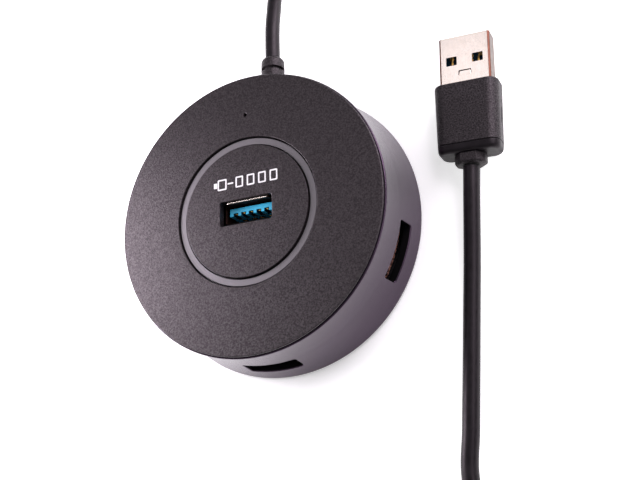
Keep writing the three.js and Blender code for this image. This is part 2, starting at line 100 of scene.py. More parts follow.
# Middle line of the lead from the coil to the plug's collar
PLUG_RUN = [
    (91.5, 68, 1.9), (91.5, 61.8, 1.9), (91.8, 50, 1.9), (91.3, 40, 1.9), (90, 25, 1.9),
    (88.3, 8, 1.9), (86.3, -10, 1.9), (84.2, -28, 1.9), (82, -45, 1.9), (80.3, -56, 1.9),
    (77.6, -66.5, 1.9), (71, -75.5, 1.9), (61.3, -79.8, 1.9), (51.5, -78, 1.9), (44.6, -71, 1.9),
    (42.3, -61, 1.9), (43.2, -50, 1.9), (44.3, -38, 1.9), (45.4, -26, 1.95), (46.5, -15, 2.3),
    (47.4, -6, 3.0), (48.1, 1, 3.6), (48.59, 6.5, 3.8),
]

# The coil is wound from the top layer inwards, drops to the bottom layer and comes back out.
# Each station is a radius from the coil's middle and a height.
COIL_STATIONS = [(23.5, 5.7), (19.7, 5.7), (15.9, 5.7), (15.9, 1.9), (19.7, 1.9), (23.5, 1.9)]
# Between which directions, clockwise from +Y, each lap moves on to the next station
COIL_MOVES = [(265, 360), (265, 360), (180, 265), (90, 180), (90, 180)]
COIL_POINTS_PER_TURN = 24


def metres(point):
    return tuple(value * MM for value in point)


def on_circle(distance, degrees, height=0.0):
    angle = math.radians(degrees)
    return (distance * math.cos(angle), distance * math.sin(angle), height)


def shares(count):
    """Even steps from 0 to 1."""
    return [step / count for step in range(count + 1)]


def limited(share):
    """The share, kept between 0 and 1."""
    return min(1, max(0, share))


def standing(point, degrees):
    """A place in the hub's frame, turned about the vertical."""
    return Matrix.Translation(point) @ Matrix.Rotation(math.radians(degrees), 4, "Z")


# ---- materials

LOOKS = {}
DARK_SHEEN = (1.0, 0.87, 0.94, 1)


class Finish:
    """A material: one shader, and the textures that feed it. Texture scales are features per millimetre."""

    def __init__(self, name, colour, roughness, metallic=0.0, **sockets):
        self.material = LOOKS[name] = bpy.data.materials.new(name)
        self.material.use_nodes = True
        self.nodes = self.material.node_tree.nodes
        self.links = self.material.node_tree.links
        self.shader = self.nodes["Principled BSDF"]
        self.shader.inputs["Base Color"].default_value = (*colour, 1)
        self.shader.inputs["Roughness"].default_value = roughness
        self.shader.inputs["Metallic"].default_value = metallic
        for socket, value in sockets.items():
            self.shader.inputs[socket.replace("_", " ")].default_value = value
        coordinates = self.nodes.new("ShaderNodeTexCoord")
        self.place = self.vector_math("MULTIPLY", coordinates.outputs["Object"], (1 / MM,) * 3)

    def vector_math(self, operation, vector, factors=(1, 1, 1), output="Vector"):
        node = self.nodes.new("ShaderNodeVectorMath")
        node.operation = operation
        node.inputs[1].default_value = factors
        self.links.new(vector, node.inputs[0])
        return node.outputs[output]

    def distance(self, stretch=(1, 1, 1)):
        """How far a place is from the hub's origin, in millimetres, after a stretch of the axes."""
        return self.vector_math("LENGTH", self.vector_math("MULTIPLY", self.place, stretch), output="Value")

    def texture(self, kind, scale, stretch):
        node = self.nodes.new(kind)
        node.inputs["Scale"].default_value = scale
        self.links.new(self.vector_math("MULTIPLY", self.place, stretch), node.inputs["Vector"])
        return node

    def noise(self, scale, detail=2.0, stretch=(1, 1, 1)):
        node = self.texture("ShaderNodeTexNoise", scale, stretch)
        node.inputs["Detail"].default_value = detail
        return node.outputs[0]

    def cells(self, scale, stretch=(1, 1, 1)):
        return self.texture("ShaderNodeTexVoronoi", scale, stretch).outputs["Distance"]

    def spread(self, share, low=0, high=1, start=0.3, end=0.7):
        """The share from start to end, carried over to low to high."""
        node = self.nodes.new("ShaderNodeMapRange")
        limits = {"From Min": start, "From Max": end, "To Min": low, "To Max": high}
        for socket, value in limits.items():
            node.inputs[socket].default_value = value
        self.links.new(share, node.inputs["Value"])
        return node.outputs["Result"]

    def colours(self, share, first, second):
        """A mix of two colours, each of them fixed or another texture's."""
        node = self.nodes.new("ShaderNodeMix")
        node.data_type = "RGBA"
        inputs = {socket.identifier: socket for socket in node.inputs}
        for key, colour in (("A_Color", first), ("B_Color", second)):
            if isinstance(colour, tuple):
                inputs[key].default_value = (*colour, 1)
            else:
                self.links.new(colour, inputs[key])
        self.links.new(share, inputs["Factor_Float"])
        return next(socket for socket in node.outputs if socket.identifier == "Result_Color")

    def feed(self, socket, value):
        self.links.new(value, self.shader.inputs[socket])

    def paint(self, colour):
        self.feed("Base Color", colour)

    def roughen(self, value):
        self.feed("Roughness", value)

    def bump(self, *layers):
        """Layers of (height share, depth in millimetres), one on another."""
        normal = None
        for height, depth in layers:
            node = self.nodes.new("ShaderNodeBump")
            node.inputs["Distance"].default_value = depth * MM
            self.links.new(height, node.inputs["Height"])
            if normal:
                self.links.new(normal, node.inputs["Normal"])
            normal = node.outputs["Normal"]
        self.feed("Normal", normal)


def spark_textured(name, dark, light, grain, depth, roughness, shine=(0.3, 0.6)):
    """Moulded plastic with a fine eroded texture, like the lid's and the plug's, and painted glints in its
    colour.
    """
    finish = Finish(name, dark, roughness[0], Specular_Tint=DARK_SHEEN)
    coarse = finish.noise(grain, 3)
    fine = finish.noise(2.7 * grain, 2)
    speckle = finish.spread(fine, 0, 1, 0.35, 0.75)
    ground = finish.colours(finish.spread(coarse), dark, light)
    # Painted glints: where the fine noise is high, the base colour goes brighter than the light colour, on
    # top of the grain's random tone.
    painted_glint = tuple(1.6 * value for value in light)
    finish.paint(finish.colours(finish.spread(fine, 0, 0.8, 0.6, 0.8), ground, painted_glint))
    finish.roughen(finish.spread(speckle, *roughness, 0, 1))
    finish.feed("Specular IOR Level", finish.spread(finish.noise(1.2 * grain, 3), *shine, 0.36, 0.64))
    finish.bump((coarse, depth), (fine, 0.4 * depth))


def smooth_plastic(name, dark, light, roughness, grain=1.2, metallic=0.0, shine=0.5, tint=(1, 1, 1)):
    """Smooth moulded plastic: faint flow marks in its colour, and a slightly uneven gloss."""
    finish = Finish(name, dark, roughness[0], metallic, Specular_IOR_Level=shine, Specular_Tint=(*tint, 1))
    flow = finish.noise(0.08, 4, (1, 1, 0.35))
    finish.paint(finish.colours(finish.spread(flow), dark, light))
    finish.roughen(finish.spread(finish.noise(grain, 3), *roughness))
    finish.bump((flow, 0.02), (finish.noise(2 * grain, 2), 0.001))


def sheet_metal(name, colour, worn, roughness, grain=(1.2, 0.12, 1.2)):
    """Plated sheet metal with a drawn grain along the sheet and faint stains."""
    finish = Finish(name, colour, roughness[0], 1.0)
    drawn = finish.noise(9, 3, grain)
    stains = finish.noise(0.9, 4)
    finish.paint(finish.colours(finish.spread(stains), colour, worn))
    finish.roughen(finish.spread(drawn, *roughness))
    finish.bump((drawn, 0.0003), (stains, 0.0015))


def soft_rubber(name, dark, light, roughness):
    """Rubber or soft cord jacket, with a faint bloom and fine pores."""
    finish = Finish(name, dark, roughness[0], Specular_IOR_Level=0.28, Specular_Tint=DARK_SHEEN)
    bloom = finish.noise(0.7, 4)
    finish.paint(finish.colours(finish.spread(bloom), dark, light))
    finish.roughen(finish.spread(bloom, *roughness))
    finish.bump((finish.cells(5), 0.01), (bloom, 0.01))


def clear_plastic(name, tint, roughness):
    """Clear plastic with a slight haze."""
    finish = Finish(name, tint, roughness[0], Transmission_Weight=0.85, IOR=1.49)
    haze = finish.noise(0.8, 3)
    finish.roughen(finish.spread(haze, *roughness))
    finish.paint(finish.colours(haze, tint, tuple(0.9 * value for value in tint)))
    finish.bump((haze, 0.004))


def white_ink():
    """Screen-printed ink, uneven like the lid's texture under it."""
    finish = Finish("white_ink", (0.86, 0.85, 0.86), 0.5, Specular_IOR_Level=0.3)
    grain = finish.noise(5, 3)
    finish.paint(finish.colours(finish.spread(grain, 0, 1, 0.35, 0.8), (0.93, 0.92, 0.93), (0.6, 0.58, 0.6)))
    finish.roughen(finish.spread(grain, 0.45, 0.65))
    finish.bump((grain, 0.02))


def board_laminate():
    """Green solder mask over glass cloth, copper tracks just showing, and a bare plated edge."""
    finish = Finish("board_laminate", (0.01, 0.09, 0.03), 0.35)
    tracks = finish.texture("ShaderNodeTexBrick", 0.35, (1, 1, 1))
    tracks.inputs["Mortar Size"].default_value = 0.06
    weave = finish.cells(1.6, (1, 0.5, 1))
    ground = finish.colours(finish.spread(weave, 0, 1, 0, 0.8), (0.008, 0.08, 0.025), (0.014, 0.12, 0.04))
    masked = finish.colours(tracks.outputs["Fac"], ground, (0.03, 0.2, 0.07))
    worn = finish.spread(finish.noise(1.8), 0, 1, 0.42, 0.58)
    plating = finish.colours(worn, (0.12, 0.04, 0.03), (0.95, 0.5, 0.38))
    plated_from, plated_fully = 30.8, 30.9
    at_edge = finish.spread(finish.distance((1, 1, 0)), 0, 1, plated_from, plated_fully)
    finish.paint(finish.colours(at_edge, masked, plating))
    finish.roughen(finish.spread(weave, 0.3, 0.45, 0, 0.8))
    finish.bump((tracks.outputs["Fac"], 0.02), (weave, 0.01))


# Dark and light colour, grain, depth of the texture, roughness and shine
spark_textured(
    "lid_plastic", (0.006, 0.005, 0.0055), (0.014, 0.0115, 0.0128), 2.4, 0.07, (0.38, 0.52), (0.33, 0.83)
)
spark_textured(
    "plug_plastic", (0.007, 0.006, 0.0068), (0.018, 0.0155, 0.017), 2.7, 0.09, (0.4, 0.6), (0.18, 0.68)
)
spark_textured("base_plastic", (0.012, 0.011, 0.0125), (0.02, 0.0185, 0.02), 1.4, 0.08, (0.5, 0.62))
spark_textured("chip_plastic", (0.012, 0.012, 0.013), (0.02, 0.02, 0.022), 5, 0.01, (0.45, 0.6))
spark_textured("fuse_body", (0.3, 0.2, 0.1), (0.4, 0.28, 0.15), 3, 0.01, (0.45, 0.6))

# Dark and light colour, roughness and grain
smooth_plastic(
    "wall_plastic",
    (0.0125, 0.0088, 0.0138),
    (0.0165, 0.012, 0.0182),
    (0.22, 0.27),
    shine=0.6,
    tint=(0.98, 0.64, 1.0),
)
# Near-black plastic that barely reflects: painted shade for the wall's openings and for the far side and
# springs of each socket shell.
smooth_plastic("slot_painted_shade", (0.002, 0.0018, 0.002), (0.003, 0.0026, 0.003), (0.7, 0.8), shine=0.04)
smooth_plastic("ring_plastic", (0.2, 0.187, 0.2), (0.22, 0.205, 0.22), (0.4, 0.48), metallic=0.8)
smooth_plastic("socket_blue", (0.035, 0.50, 0.80), (0.045, 0.56, 0.88), (0.3, 0.42), 2.5)
smooth_plastic("socket_shade", (0.002, 0.03, 0.06), (0.003, 0.045, 0.085), (0.4, 0.5), 2.5)

# Colour, worn colour, roughness and stretch of the grain
sheet_metal("screw_steel", (0.42, 0.42, 0.43), (0.3, 0.29, 0.29), (0.28, 0.42), (1, 1, 1))
sheet_metal("can_metal", (0.62, 0.63, 0.65), (0.5, 0.5, 0.52), (0.2, 0.34), (1, 1, 0.2))
sheet_metal("nickel_plate", (0.92, 0.84, 0.76), (0.88, 0.79, 0.7), (0.21, 0.24))
# Painted shade: darker copies of the nickel for the plug shell's short sides, inside and rounded corners.
sheet_metal("nickel_side_painted_shade", (0.32, 0.28, 0.26), (0.2, 0.17, 0.155), (0.45, 0.6))
sheet_metal("nickel_fold_painted_shade", (0.2, 0.08, 0.055), (0.14, 0.06, 0.045), (0.4, 0.5))
# Painted shade: a dark reddish copy of the metal for the inside of the sockets' shells.
sheet_metal("shell_painted_shade", (0.06, 0.03, 0.024), (0.035, 0.018, 0.015), (0.5, 0.65))
sheet_metal("contact_gold", (0.85, 0.53, 0.17), (0.7, 0.4, 0.12), (0.22, 0.36))

# Dark and light colour, and roughness
soft_rubber("foot_rubber", (0.008, 0.008, 0.008), (0.016, 0.015, 0.015), (0.75, 0.9))
soft_rubber("cord_jacket", (0.006, 0.005, 0.0062), (0.010, 0.0085, 0.0105), (0.34, 0.46))
WIRE_COLOURS = {
    "wire_red": (0.45, 0.02, 0.015),
    "wire_black": (0.012, 0.012, 0.012),
    "wire_white": (0.78, 0.78, 0.75),
    "wire_green": (0.025, 0.2, 0.04),
    "wire_blue": (0.025, 0.08, 0.38),
    "wire_yellow": (0.65, 0.38, 0.015),
}
for name, colour in WIRE_COLOURS.items():
    soft_rubber(name, colour, tuple(1.15 * value for value in colour), (0.4, 0.5))

clear_plastic("led_lens", (0.75, 0.82, 0.9), (0.08, 0.2))
clear_plastic("clear_plastic", (0.85, 0.88, 0.9), (0.05, 0.18))
white_ink()
board_laminate()


# ---- mesh helpers


class Skin:
    """A mesh put together from loops of points, in millimetres, at a place in the hub's frame."""

    def __init__(self, place=None):
        self.mesh = bmesh.new()
        self.place = place or Matrix.Identity(4)
        self.material_index = 0

    def loop(self, points):
        return [self.mesh.verts.new(self.place @ Vector(point)) for point in points]

    def face(self, corners):
        self.mesh.faces.new(corners).material_index = self.material_index

    def join(self, loops, closed=True):
        """Quads from each loop to the next, which has the same number of points."""
        for first, second in zip(loops, loops[1:]):
            for here in range(len(first) if closed else len(first) - 1):
                after = (here + 1) % len(first)
                self.face((first[here], first[after], second[after], second[here]))

    def tube(self, outlines, ends="capped"):
        """A skin through outlines. Its ends are capped, joined to each other or left open."""
        loops = [self.loop(outline) for outline in outlines]
        self.join(loops)
        if ends == "capped":
            self.face(list(reversed(loops[0])))
            self.face(loops[-1])
        elif ends == "joined":
            self.join([loops[-1], loops[0]])

    def prism(self, outline, x, y, levels):
        """An outline of (x, y) points, moved by x and y, that stands between two levels."""
        self.tube([[(x + px, y + py, z) for px, py in outline] for z in levels])

    def block(self, x, half, ys, zs):
        """A box, half wide to each side of x, between two ys and two zs."""
        near, far = ys
        self.prism([(-half, near), (half, near), (half, far), (-half, far)], x, 0, zs)


def upright(x, half, y, low, high):
    """The corners of a rectangle that stands across the y direction."""
    return [(x - half, y, low), (x + half, y, low), (x + half, y, high), (x - half, y, high)]


def add_object(name, data):
    """A new object in the scene's collection."""
    added = bpy.data.objects.new(name, data)
    bpy.context.scene.collection.objects.link(added)
    return added


def make_mesh(name, skin):
    """The skin as Blender's own mesh, in metres, with points that lie together made one."""
    mesh = skin.mesh
    together = 0.002
    bmesh.ops.remove_doubles(mesh, verts=mesh.verts, dist=together)
    bmesh.ops.recalc_face_normals(mesh, faces=mesh.faces)
    bmesh.ops.scale(mesh, vec=(MM, MM, MM), verts=mesh.verts)
    data = bpy.data.meshes.new(name)
    mesh.to_mesh(data)
    mesh.free()
    data.update()
    return data


def add_piece(name, skin, look, slot=None, stands_for=(), cutter=None, bevel=0.0, more_looks=()):
    """A mesh object from a skin, with its materials, its edges softened by bevel, on the hub's body."""
    data = make_mesh(name, skin)
    piece = add_object(name, data)
    for key in (look, *more_looks):
        data.materials.append(LOOKS[key])
    if cutter is not None:
        cut_away(piece, cutter)
    if bevel:
        soften = piece.modifiers.new("soften", "BEVEL")
        soften.width = bevel * MM
        soften.segments = 2
        soften.limit_method = "ANGLE"
        soften.angle_limit = math.radians(50)
    piece.data.shade_smooth()
    piece.data.set_sharp_from_angle(angle=math.radians(40))
    normals = piece.modifiers.new("normals", "WEIGHTED_NORMAL")
    normals.keep_sharp = True
    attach(piece, BODY)
    if stands_for:
        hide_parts(*stands_for)
    return piece


def cut_away(piece, cutter_skin):
    """Cuts one skin's solids out of a piece's mesh. The cut faces keep the cutter's material indices."""
    cutter = add_object("cutter", make_mesh("cutter", cutter_skin))
    for material in piece.data.materials:
        cutter.data.materials.append(material)
    cut = piece.modifiers.new("cut", "BOOLEAN")
    cut.operation = "DIFFERENCE"
    cut.solver = "EXACT"
    cut.use_self = True
    cut.object = cutter
    graph = bpy.context.evaluated_depsgraph_get()
    result = bpy.data.meshes.new_from_object(piece.evaluated_get(graph))
    piece.modifiers.clear()
    piece.data = result
    bpy.data.objects.remove(cutter)


def rounded_edge(radius):
    """Steps round a quarter circle from (0, radius) to (radius, 0): how far in, and how far from the end."""
    turns = [math.pi / 2 * share for share in shares(4)]
    return [(radius * (1 - math.cos(turn)), radius * (1 - math.sin(turn))) for turn in turns]


def rounded_path(corners, steps=5):
    """An outline through (x, y, radius) corners, each rounded by its radius."""
    points = []
    for index, (x, y, radius) in enumerate(corners):
        here = Vector((x, y))
        if radius == 0:
            points.append((x, y))
            continue
        before = (Vector(corners[index - 1][:2]) - here).normalized()
        after = (Vector(corners[(index + 1) % len(corners)][:2]) - here).normalized()
        half = before.angle(after) / 2
        middle = here + (before + after).normalized() * radius / math.sin(half)
        start = here + before * radius / math.tan(half) - middle
        end = here + after * radius / math.tan(half) - middle
        for share in shares(steps):
            spoke = start.lerp(end, share).normalized()
            points.append(tuple(middle + spoke * radius))
    return points


def turned(skin, corners, sides=256, ends="joined", centre=(0, 0, 0)):
    """(radius, height, rounding) corners turned about a vertical line."""
    directions = [360 * side / sides for side in range(sides)]
    outlines = []
    for radius, height in rounded_path(corners):
        circle = [Vector(on_circle(radius, direction, height)) for direction in directions]
        outlines.append([point + Vector(centre) for point in circle])
    skin.tube(outlines, ends)


def side_places(half, corner, arc_steps, straight_steps):
    """Places along one side of a rounded rectangle, from the middle of one corner to the next."""
    eighth = math.pi / 4
    arc = [half - corner + corner * math.sin(eighth * share) for share in shares(arc_steps)[1:]]
    straight = [0.0]
    if straight_steps:
        straight = [(half - corner) * (2 * share - 1) for share in shares(straight_steps)]
    return [-place for place in reversed(arc)] + straight + arc


def side_reach(place, half_along, half_across, corner):
    """How far out a rounded rectangle's side is, at a place along it."""
    past = abs(place) - (half_along - corner)
    if past <= 0:
        return half_across
    return half_across - corner + math.sqrt(max(0.0, corner * corner - past * past))


def around(along, up, reach_y, reach_x):
    """Points round four sides, counter-clockwise from the lower left."""
    bottom = [(x, -reach_y(x)) for x in along[:-1]]
    right = [(reach_x(y), y) for y in up[:-1]]
    top = [(x, reach_y(x)) for x in reversed(along[1:])]
    left = [(-reach_x(y), y) for y in reversed(up[1:])]
    return bottom + right + top + left


FEW_STEPS = ((4, 1), (4, 1))


def rounded_rectangle(width, height, corner, steps=FEW_STEPS):
    """A counter-clockwise outline. steps are the arc and straight steps of the wide and of the high sides."""
    half_width, half_height = width / 2, height / 2
    return around(
        side_places(half_width, corner, *steps[0]),
        side_places(half_height, corner, *steps[1]),
        lambda x: side_reach(x, half_width, half_height, corner),
        lambda y: side_reach(y, half_height, half_width, corner),
    )


def inset_rectangle(width, height, corner, inset, steps=FEW_STEPS, least=0.0):
    """A rounded rectangle, smaller by inset on every side, with at least some rounding."""
    return rounded_rectangle(width - 2 * inset, height - 2 * inset, max(corner - inset, least), steps)


def bar(skin, size, edges, narrow=0.0, steps=FEW_STEPS):
    """A bar along +Y with a rounded section and rounded end edges, narrower by narrow at its start."""
    start, end = size["start"], size["end"]
    stations = [(start + into, back) for into, back in rounded_edge(edges[0])]
    stations += [(end - into, back) for into, back in reversed(rounded_edge(edges[1]))]
    outlines = []
    for y, inset in stations:
        slim = narrow * (end - y) / (end - start)
        width, height = size["width"] - slim, size["height"] - slim
        section = inset_rectangle(width, height, size["corner"], inset, steps, least=0.04)
        outlines.append([(x, y, z) for x, z in reversed(section)])
    skin.tube(outlines)


# ---- the case


def wall_radius(height):
    """The wall leans in towards its top and is hollowed a little at half height."""
    share = (height - FOOT_LIFT) / (WALL["top"] - FOOT_LIFT)
    straight = WALL["bottom_radius"] + (WALL["top_radius"] - WALL["bottom_radius"]) * share
    return straight - 4 * WALL["waist"] * share * (1 - share)


def wall_point(direction, height, inset):
    return on_circle(wall_radius(height) - inset, direction, height)


WALL_ZONE = (1.7, 11.9)  # the band of the wall that holds every opening
ROW_STEPS = (4, 4)
WALL_OPENINGS = [
    {
        "direction": direction,
        "height": WALL_SOCKET_HEIGHT,
        "size": tuple(WALL_SLOT.values()),
        "steps": ((4, 22), ROW_STEPS),
        "half_range": 14.0,
        "lip": 0.22,
    }
    for direction in WALL_SOCKETS.values()
]
WALL_OPENINGS.append(
    {
        "direction": 90,
        "height": GLAND["height"],
        "size": (2 * GLAND["radius"], 2 * GLAND["radius"], GLAND["radius"]),
        "steps": ((8, 0), (6, 0)),
        "half_range": 8.0,
        "lip": 0.12,
    }
)


def wall_rows():
    """Heights of the rows of the band with the openings: the slots' own steps, stretched over the band."""
    places = side_places(WALL_SLOT["height"] / 2, WALL_SLOT["corner"], *ROW_STEPS)
    low, high = WALL_ZONE
    return [low + (high - low) * (place / places[-1] + 1) / 2 for place in places]


def opening_columns(opening):
    """Directions of the columns beside an opening, relative to its middle."""
    width, _, corner = opening["size"]
    places = side_places(width / 2, corner, *opening["steps"][0])
    return [opening["half_range"] * place / places[-1] for place in places]


def opening_outline(opening, grow):
    return inset_rectangle(*opening["size"], -grow, opening["steps"])


def opening_point(opening, across, up, depth):
    """A point of an opening's edge: across and up from its middle, depth behind the wall's skin."""
    height = opening["height"] + up
    radius = wall_radius(height)
    out = math.sqrt(radius * radius - across * across) - depth
    return standing((0, 0, height), opening["direction"]) @ Vector((out, across, 0))


def wall_patch(skin, opening, inset, grow):
    """The wall's skin between an opening's edge and the cell that it sits in. Returns the edge's loop."""
    rows = wall_rows()
    columns = opening_columns(opening)
    middle = (rows[0] + rows[-1]) / 2
    half_cell = rows[-1] - middle
    cell = around(columns, [row - middle for row in rows], lambda _: half_cell, lambda _: columns[-1])
    edge = []
    for across, up in opening_outline(opening, grow):
        height = opening["height"] + up
        angle = math.degrees(math.asin(across / (wall_radius(height) - inset)))
        edge.append((angle, height - middle))
    loops = []
    for share in (0, 0.1, 0.28, 0.6, 1):
        points = []
        for (angle, up), (cell_angle, cell_up) in zip(edge, cell):
            direction = opening["direction"] + angle + (cell_angle - angle) * share
            points.append(wall_point(direction, middle + up + (cell_up - up) * share, inset))
        loops.append(skin.loop(points))
    skin.join(loops)
    return loops[0]


def wall_directions():
    """Every column of the wall: those beside the openings, and even ones between them."""
    widest_step = 1.5
    beside, between = [], []
    ordered = sorted(WALL_OPENINGS, key=lambda opening: opening["direction"])
    for index, opening in enumerate(ordered):
        columns = [opening["direction"] + column for column in opening_columns(opening)]
        beside.append(columns)
        after = ordered[(index + 1) % len(ordered)]
        start = columns[-1]
        end = after["direction"] - after["half_range"]
        if end < start:
            end += 360
        count = math.ceil((end - start) / widest_step)
        between.append([start + (end - start) * share for share in shares(count)])
    return beside, between


def wall_sheet(skin, inset, below, above, with_lips):
    """One side of the wall, with its openings. Returns its directions and the openings' edge loops."""
    beside, between = wall_directions()
    directions = []
    for columns, stretch in zip(beside, between):
        directions += columns[:-1] + stretch[:-1]

    def rows(heights, across):
        return [skin.loop([wall_point(column, height, inset) for column in across]) for height in heights]

    skin.join(rows(below + [WALL_ZONE[0]], directions))
    skin.join(rows([WALL_ZONE[1]] + above, directions))
    for stretch in between:
        skin.join(rows(wall_rows(), stretch), closed=False)
    edges = []
    for opening in WALL_OPENINGS:
        edges.append(wall_patch(skin, opening, inset, opening["lip"] if with_lips else 0.0))
    return directions, edges


def add_case_wall():
    """The wall: an outer and an inner sheet, joined round the top, the bottom and every opening."""
    skin = Skin()
    edge, thickness = WALL["edge"], WALL["thickness"]
    bottom, top = FOOT_LIFT, WALL["top"]
    shelf, shelf_bottom, shelf_edge = SHELF["inner"], SHELF["bottom"], 0.1
    inner_row = 14.5
    above = [WALL_ZONE[1] + (top - edge - WALL_ZONE[1]) * share for share in shares(6)[1:]]
    directions, outer_edges = wall_sheet(skin, 0.0, [bottom + edge], above, True)
    _, inner_edges = wall_sheet(skin, thickness, [bottom], [inner_row, shelf_bottom], False)

    def rim(radius, height):
        return [on_circle(radius, direction, height) for direction in directions]

    outlines = [rim(wall_radius(top - edge) - into, top - back) for into, back in rounded_edge(edge)]
    outlines += [rim(shelf + shelf_edge, top), rim(shelf, top - shelf_edge), rim(shelf, shelf_bottom)]
    outlines += [rim(wall_radius(shelf_bottom) - thickness, shelf_bottom)]
    skin.tube(outlines, "open")
    outlines = [rim(wall_radius(bottom + edge) - into, bottom + back) for into, back in rounded_edge(edge)]
    outlines += [rim(wall_radius(bottom) - thickness, bottom)]
    skin.tube(outlines, "open")

    for opening, outer, inner in zip(WALL_OPENINGS, outer_edges, inner_edges):
        loops = [outer]
        for depth, grow in rounded_edge(opening["lip"])[1:]:
            outline = opening_outline(opening, grow)
            loops.append(skin.loop([opening_point(opening, x, z, depth) for x, z in outline]))
        skin.join(loops)
        # The tunnel behind each opening's lip takes the near-black look, painted shade.
        skin.material_index = 1
        skin.join([loops[-1], inner])
        skin.material_index = 0
    add_piece("case_wall", skin, "wall_plastic", stands_for=["housing_shell"], more_looks=["slot_painted_shade"])


def add_lid():
    locating, top, shoulder = SHELF["inner"] - GAP, LID["top"], LID["top"] - LID["edge"]
    skin = Skin()
    profile = [(GROOVE["outer"], LID_BOTTOM, 0), (locating, LID_BOTTOM, 0.1), (locating, shoulder, 0)]
    profile += [(LID["radius"], shoulder, 0.05), (LID["radius"], top, 0.22), (GROOVE["outer"], top, 0.12)]
    turned(skin, profile)
    hole = Skin()
    narrow, lip = PINHOLE["radius"], 0.12
    wide = narrow + lip
    profile = [(narrow, LID_BOTTOM - 1, 0), (narrow, top - lip, 0), (wide, top, 0), (wide, top + 1, 0)]
    turned(hole, profile, 32, "capped", (0, PINHOLE["distance"], 0))
    add_piece("lid", skin, "lid_plastic", stands_for=["top_cover"], cutter=hole)


def add_lid_ring():
    """The grey ring in the lid's groove, with a flange under the lid and the centre plate."""
    inner, outer = GROOVE["inner"] + GAP, GROOVE["outer"] - GAP
    top, edge = LID["top"] - GROOVE["depth"], 0.12
    reach, thickness = 2, 1.2
    high = LID_BOTTOM - GAP
    low = high - thickness
    skin = Skin()
    profile = [(inner - reach, low, 0), (outer + reach, low, 0), (outer + reach, high, 0), (outer, high, 0)]
    profile += [(outer, top, edge), (inner, top, edge), (inner, high, 0), (inner - reach, high, 0)]
    turned(skin, profile)
    add_piece("lid_ring", skin, "ring_plastic", stands_for=["light_ring"])


def add_centre_disc():
    """The round plate inside the ring, with the slot of the lid's socket."""
    steps = ((6, 32), (6, 12))
    width, height, corner = LID_SLOT.values()
    lip, rim = 0.16, 0.12
    top, radius = LID["top"], GROOVE["inner"]
    spokes = [math.atan2(y / height, x / width) for x, y in rounded_rectangle(width, height, corner, steps)]

    def slot(grow, z):
        return [(x, y, z) for x, y in inset_rectangle(width, height, corner, -grow, steps)]

    def disc(size, z):
        return [(size * math.cos(spoke), size * math.sin(spoke), z) for spoke in spokes]

    outlines = [slot(0, LID_BOTTOM)]
    outlines += [slot(into, top - back) for into, back in rounded_edge(lip)]
    outlines += [disc(radius - back, top - into) for into, back in rounded_edge(rim)]
    outlines += [disc(radius, LID_BOTTOM)]
    skin = Skin()
    skin.tube(outlines, "joined")
    add_piece("centre_disc", skin, "lid_plastic", stands_for=["centre_plate"])


def add_mark():
    """A plain printed pictogram: one plug on the left, joined to four ports."""
    row, height, stroke, corner, small_corner = 7.2, 2.7, 0.36, 0.28, 0.1
    low, high = LID["top"], LID["top"] + 0.03
    port_width, port_pitch, first_port = 2.0, 2.95, -1.55
    skin = Skin()

    def bar_sign(x, wide, high_by):
        skin.prism(rounded_rectangle(wide, high_by, small_corner), x, row, (low, high))

    def frame_sign(x, wide):
        outer = rounded_rectangle(wide, height, corner)
        inner = rounded_rectangle(wide - 2 * stroke, height - 2 * stroke, small_corner)
        loops = [(outer, low), (outer, high), (inner, high), (inner, low)]
        skin.tube([[(x + px, row + py, z) for px, py in outline] for outline, z in loops], "joined")

    bar_sign(-7.85, 0.9, 1.3)
    frame_sign(-6.1, 2.4)
    bar_sign(-3.9, 1.5, stroke)
    for port in range(4):
        frame_sign(first_port + port_pitch * port, port_width)
    add_piece("lid_mark", skin, "white_ink", slot="lid_plastic")


def add_base():
    """The bottom plate, with a pad and a stepped hole for each screw and a seat for each foot."""
    radius, bottom, top, middle = BASE["radius"], FOOT_LIFT, BASE["top"], 0.5
    skin = Skin()
    plate = [(middle, bottom, 0), (radius, bottom, 0.25), (radius, top, 0.1), (middle, top, 0)]
    turned(skin, plate, ends="capped")
    radius, pad_bottom, pad_top, middle = 3.2, 1.5, top + 0.9, 0.2
    pad = [(middle, pad_bottom, 0), (radius, pad_bottom, 0), (radius, pad_top, 0.2), (middle, pad_top, 0)]
    head, head_top, lead_in, shank, shank_top = SCREW["recess_radius"], SCREW["recess_top"], 0.2, 1.3, 5
    recess = [(head + lead_in, 0, 0), (head + lead_in, bottom, 0), (head, bottom + lead_in, 0)]
    recess += [(head, head_top, 0), (shank, head_top, 0), (shank, shank_top, 0)]
    cutter = Skin()
    for direction in SCREW["directions"]:
        centre = on_circle(SCREW["distance"], direction)
        turned(skin, pad, 40, "capped", centre)
        turned(cutter, recess, 40, "capped", centre)
    seat_radius, seat_depth, lead_in = FOOT["radius"] + GAP, 0.4, 0.15
    seat = [(seat_radius + lead_in, 0, 0), (seat_radius + lead_in, bottom, 0)]
    seat += [(seat_radius, bottom + lead_in, 0), (seat_radius, bottom + seat_depth, 0)]
    for direction in FOOT["directions"]:
        turned(cutter, seat, 48, "capped", on_circle(FOOT["distance"], direction))
    add_piece("base_plate", skin, "base_plastic", stands_for=["base_cover"], cutter=cutter)


def add_feet():
    """Round rubber feet, a little hollow underneath."""
    radius, height, middle = FOOT["radius"], FOOT["height"], 0.3
    profile = [(middle, 0.05, 0), (radius - 1.1, 0, 0.3), (radius - 0.1, 0.12, 0.2)]
    profile += [(radius, height, 0.08), (middle, height, 0)]
    for index, direction in enumerate(FOOT["directions"], 1):
        skin = Skin()
        turned(skin, profile, 64, "capped", on_circle(FOOT["distance"], direction))
        add_piece(f"foot_pad_{index}", skin, "foot_rubber", stands_for=[f"foot_{index}"])


